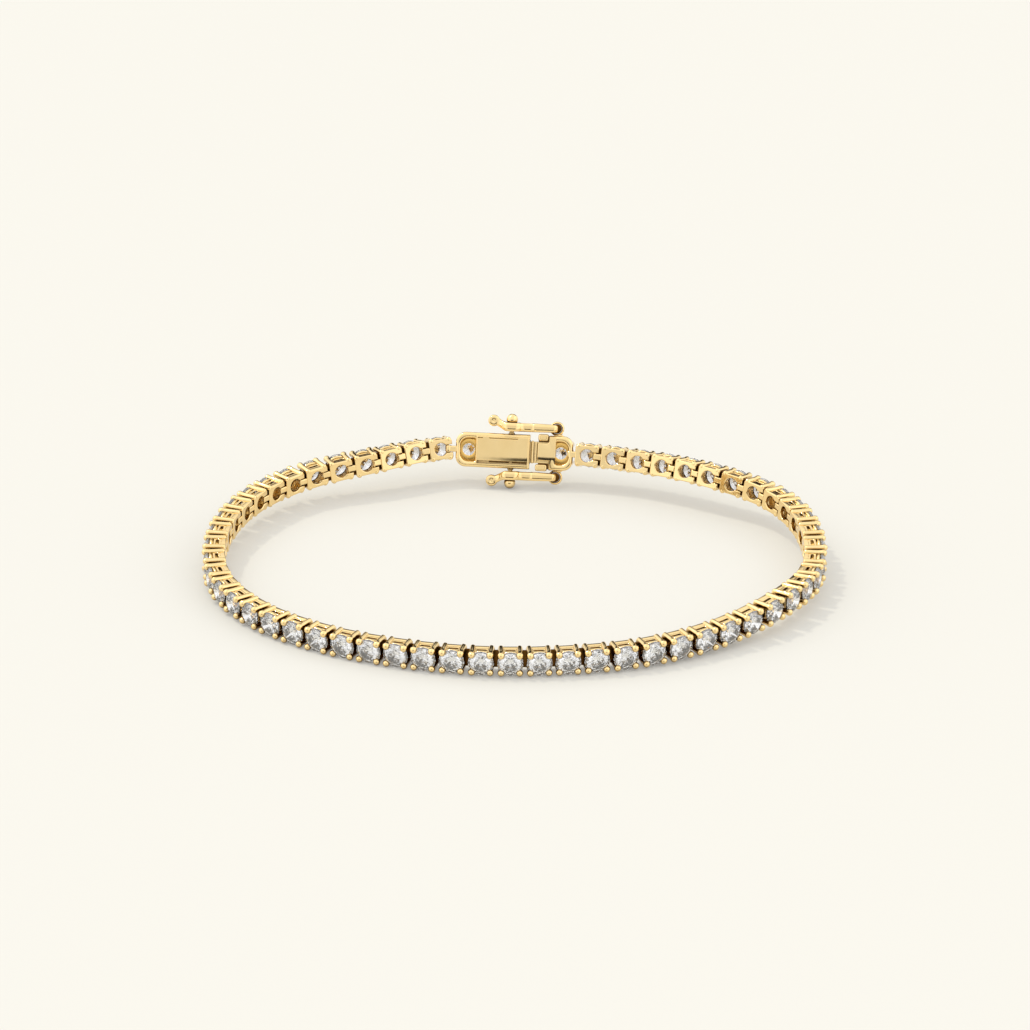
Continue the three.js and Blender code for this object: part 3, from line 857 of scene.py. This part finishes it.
def lug(side):
    """The end of the thumb plate beside the neck, a block with a sunk face."""
    x0, x1 = (2.32, 3.5) if side > 0 else (2.42, 3.75)
    block = across(x0, x1, 1.32, 2.08, 0.2, 1.1, 0.22, 0.14)
    face = across(x0 + 0.25, x1 - 0.25, 1.5, 1.9, 0.12, 0.4, 0.12, 0.06)
    behind = across(1.9, 3.5, 0.8, CLASP_HALF - 0.06, 1.0, 1.3, 0.1, 0.08)
    return moved(merged(block, face, behind), scale=(1, side, 1))


def hinge_ring(side):
    """A wide thin ring, open enough for the catch's round end to turn in it, on its foot."""
    ring = moved(torus(*RING_SHAPE, 40, 12), (HINGE_X, side * SAFETY_REACH, CLASP_MIDDLE))
    foot = across(HINGE_X - 0.3, HINGE_X + 0.3, CLASP_HALF - 0.2, SAFETY_REACH - 0.62,
                  0.48, 0.92, 0.1)
    shoulder = across(HINGE_X - 0.75, HINGE_X - 0.1, CLASP_HALF - 0.25, CLASP_HALF + 0.16,
                      0.4, 1.0, 0.15, 0.14)
    return merged(ring, *[moved(part, scale=(1, side, 1)) for part in (foot, shoulder)])


def neck_face():
    """The T-shaped inner plate: a bar as wide as the head, then a narrower neck."""
    bar, neck, low_neck, fillet, corner = CLASP_HALF - 0.1, 1.08, 0.92, 0.3, 0.12
    bar_start, bar_end, neck_end = 1.46, 2.22, 3.5

    def side(width):
        curve = arc(bar_end + fillet, width + fillet, fillet, 180, 270, 6)
        return [(bar_end, bar), *curve, (neck_end - corner, width), (neck_end, width - corner)]

    upper = [(bar_start, bar), *side(neck)]
    lower = [(x, -y) for x, y in reversed(side(low_neck))] + [(bar_start, -bar)]
    plate = prism([thinned(upper + lower)], -0.03, 0.4, 0.08, 4)
    return dipped(plate, (-0.35, -0.35), 0.11)


def clasp_tongue():
    """Head with its stone, the folded spring tongue, thumb plate and hinge rings; and the plate."""
    window = window_loop(0.07, 1.46, -1)
    head = prism([half_loop(HEAD_END, REAR_EDGE), window], 0, CLASP_THICKNESS, SHELL_BEVEL, 6)
    notch = across(REAR_EDGE - 1, 0.3, -0.505, 0.505, -1, 3, 0.03, 0.01)
    head = cut(head, notch)
    leaf = across(1.9, 8.6, -1.2, 1.2, 0.35, 0.57)
    upper = across(2.4, 8.6, -1.2, 1.2, 0.73, 0.95)
    folds = [across(3.6, 3.78, -1.05, 1.2, 0.1, 0.45),
             across(3.95, 4.25, -1.25, 1.3, 0.16, 0.5, 0.1, 0.12)]
    tip = moved(pin_rod(8.4, 0.2, 2.4), (0, 0, 0.28))
    held = setting(STONE_X, CLASP_SETTING_LEVEL)
    parts = [head, leaf, upper, tip, *folds, pin_rod(0, 0.12, 1.4), held]
    parts += [make(side) for make in (lug, hinge_ring) for side in (1, -1)]
    return merged(*parts), neck_face()


for name, make in (("clasp_box", clasp_box), ("clasp_tongue", clasp_tongue)):
    metal, plate = make()
    piece(name + "_metal", placed(metal, CLASP), GOLD, "bracelet", "gold", name)
    piece(name + "_plate", placed(plate, CLASP), GOLD_FLAT, "bracelet", "gold", name, crease=12)
for name, x, holder in (("box_stone", BOX_STONE_X, "clasp_box"),
                        ("tongue_stone", STONE_X, "clasp_tongue")):
    piece(holder + "_seat", placed(seat(x), CLASP), GOLD_CUP_SHADE, "bracelet", "gold", holder)
    piece(name + "_cut", placed(brilliant(x), CLASP), DIAMOND, "bracelet", "diamond", name)


# Safety catches

def slot_loop(x0, x1, half):
    return arc(x1 - half, 0, half, -90, 90, 8) + arc(x0 + half, 0, half, 90, 270, 8)


def catch_outline():
    """The 8 seen from above with its tail, half of it at y >= 0, and its two openings."""
    rail, loop_half, eye_half, waist = 0.4, 0.31, 0.725, 0.58
    x0, x1 = -0.2, 3.1
    outer, reach = loop_half + rail, eye_half + rail
    e0 = EYE_CENTRE - EYE_REACH - rail
    half = arc(x0 + outer, 0, outer, 180, 90, 10)
    half += arc(x1 - outer, 0, outer, 90, 60, 4)
    half += [((x1 + e0) / 2 - 0.1, waist)]
    half += arc(e0 + reach, 0, reach, 145, 90, 9)
    half += arc(EYE_CENTRE + 0.2, 0, reach, 90, 38, 9)
    half += [(EYE_CENTRE + 1.5, 0.5), (EYE_CENTRE + 1.75, 0.46), (KNOB_X, 0.44), (KNOB_X, 0)]
    openings = [slot_loop(x0 + rail, x1 - rail, loop_half),
                slot_loop(EYE_CENTRE - EYE_REACH, EYE_CENTRE + EYE_REACH, eye_half)]
    return thinned(mirrored(half)), openings


def knob():
    """A short barrel whose flat face looks the way the clasp's inner face does."""
    profile = [(r, -z) for r, z in KNOB_PROFILE] + KNOB_PROFILE[::-1]
    return moved(lathe(profile, 28), (KNOB_X, 0, KNOB_RISE), UPRIGHT)


def safety(side):
    """A thick flat 8 whose tail lifts to a knob, and its pin, dark with painted shade; the origin
    is the hinge.
    """
    outline, openings = catch_outline()
    flat, bevel, hinge_share, hinge_end, tail_start = 0.06, 0.19, 0.85, 1.5, 5.6
    v, f, s = prism([outline, *openings], -flat - bevel, flat + bevel, bevel, 7)
    swell = hinge_share + (1 - hinge_share) * np.clip(v[:, 0] / hinge_end, 0, 1)
    v[:, 2] *= CATCH_HALF_THICKNESS / (flat + bevel) * swell
    lift = np.clip((v[:, 0] - tail_start) / (KNOB_X - tail_start), 0, 1)
    v[:, 2] = v[:, 2] * (1 - 0.1 * lift) + KNOB_RISE * lift * lift * (3 - 2 * lift)
    bar = moved(merged((v, f, s), knob()), turn=Matrix.Rotation(-math.pi / 2, 4, "X"))
    pin = lathe(round_profile(CATCH_PIN_RADIUS, -0.24, 0.24, 0.04), 32)
    hinge = (HINGE_X, side * SAFETY_REACH, CLASP_MIDDLE)
    return [moved(part, hinge, scale=(1, side, 1)) for part in (bar, pin)]


for name, side, body in (("safety_upper", 1, "upper_catch"), ("safety_lower", -1, "lower_catch")):
    bar, pin = safety(side)
    piece(name + "_bar", placed(bar, CLASP), GOLD, body, "gold", name)
    # The pin's near-black gold is painted shade inside the hinge ring
    piece(name + "_pin", placed(pin, CLASP), GOLD_PAINTED_SHADE, body, "gold", name)


# Floor, light and camera

def floor():
    mesh = bpy.data.meshes.new("floor")
    reach = 3.0
    corners = [(-reach, -reach, 0), (reach, -reach, 0), (reach, reach, 0), (-reach, reach, 0)]
    mesh.from_pydata(corners, [], [(0, 1, 2, 3)])
    obj = bpy.data.objects.new("floor", mesh)
    bpy.context.scene.collection.objects.link(obj)
    material = bpy.data.materials.new("floor_pale")
    tree, shader = nodes_of(material)
    shader.inputs["Roughness"].default_value = 0.9
    shader.inputs["Specular IOR Level"].default_value = 0.0
    shader.inputs["Emission Color"].default_value = (*FLOOR_GLOW, 1)
    shader.inputs["Emission Strength"].default_value = 1.0
    colour = ramp(tree, noise(tree, 3, 2), FLOOR_LOW, FLOOR_HIGH)
    tree.links.new(colour, shader.inputs["Base Color"])
    mesh.materials.append(material)


def fade(tree, source, start, end, low, high):
    """A smooth step; start and end may be sockets."""
    node = tree.nodes.new("ShaderNodeMapRange")
    node.interpolation_type = "SMOOTHSTEP"
    ends = (("Value", source), ("From Min", start), ("From Max", end),
            ("To Min", low), ("To Max", high))
    for name, value in ends:
        if isinstance(value, bpy.types.NodeSocket):
            tree.links.new(value, node.inputs[name])
        else:
            node.inputs[name].default_value = value
    return node.outputs["Result"]


def combined(tree, operation, *sources):
    node = tree.nodes.new("ShaderNodeMath")
    node.operation = operation
    for source, socket in zip(sources, node.inputs):
        tree.links.new(source, socket)
    return node.outputs["Value"]


def world():
    """A pale dome with a narrow dark card low in front and behind, brighter boxes at the sides,
    and a soft box round the sun."""
    made = bpy.data.worlds.new("studio")
    bpy.context.scene.world = made
    made.use_nodes = True
    tree = made.node_tree
    background = next(n for n in tree.nodes if n.type == "BACKGROUND")
    direction = tree.nodes.new("ShaderNodeTexCoord").outputs["Generated"]
    split = tree.nodes.new("ShaderNodeSeparateXYZ")
    tree.links.new(direction, split.inputs["Vector"])
    x, y, z = (split.outputs[axis] for axis in "XYZ")
    card_edges = [fade(tree, y, -0.5, 0.5, *edge) for edge in zip(CARD_FRONT, CARD_BACK)]
    low = fade(tree, z, *card_edges, 1.0, 0.0)
    aside = combined(tree, "ABSOLUTE", x)
    narrow = fade(tree, aside, *CARD_SIDE, 1.0, 0.0)
    sides = fade(tree, aside, *SIDE_BOX_EDGE, 1.0, SIDE_BOXES)
    card = fade(tree, combined(tree, "MULTIPLY", low, narrow), 0.0, 1.0, 1.0, CARD_DARK)
    above = fade(tree, z, *DOME_RISE, *DOME_SHADES)
    dome = combined(tree, "MULTIPLY", combined(tree, "MULTIPLY", card, sides), above)
    towards = tree.nodes.new("ShaderNodeVectorMath")
    towards.operation = "DOT_PRODUCT"
    towards.inputs[1].default_value = (-Vector(SUN_TRAVEL)).normalized()
    tree.links.new(direction, towards.inputs[0])
    box = fade(tree, towards.outputs["Value"], *SOFT_BOX_EDGE, 0.0, SOFT_BOX)
    tree.links.new(combined(tree, "ADD", dome, box), background.inputs["Color"])
    background.inputs["Strength"].default_value = DOME_STRENGTH


def sun():
    data = bpy.data.lights.new("key", "SUN")
    data.energy = SUN_ENERGY
    data.angle = SUN_SIZE
    data.color = SUN_COLOUR
    obj = bpy.data.objects.new("key", data)
    bpy.context.scene.collection.objects.link(obj)
    obj.rotation_euler = Vector(SUN_TRAVEL).to_track_quat("-Z", "Y").to_euler()


def camera():
    level = math.cos(CAMERA_ELEVATION)
    forward = np.array([math.sin(CAMERA_AZIMUTH) * level, math.cos(CAMERA_AZIMUTH) * level,
                        -math.sin(CAMERA_ELEVATION)])
    data = bpy.data.cameras.new("camera")
    data.sensor_width = SENSOR_WIDTH
    data.lens = FOCAL_PIXELS / PHOTO_PIXELS * SENSOR_WIDTH
    data.clip_start, data.clip_end = 0.05, 20
    obj = bpy.data.objects.new("camera", data)
    bpy.context.scene.collection.objects.link(obj)
    obj.location = Vector((np.array(CAMERA_TARGET) - forward * CAMERA_DISTANCE) * MM)
    obj.rotation_euler = Vector(forward).to_track_quat("-Z", "Y").to_euler()
    bpy.context.scene.camera = obj


floor()
world()
sun()
camera()
bpy.context.scene.view_settings.view_transform = "Standard"
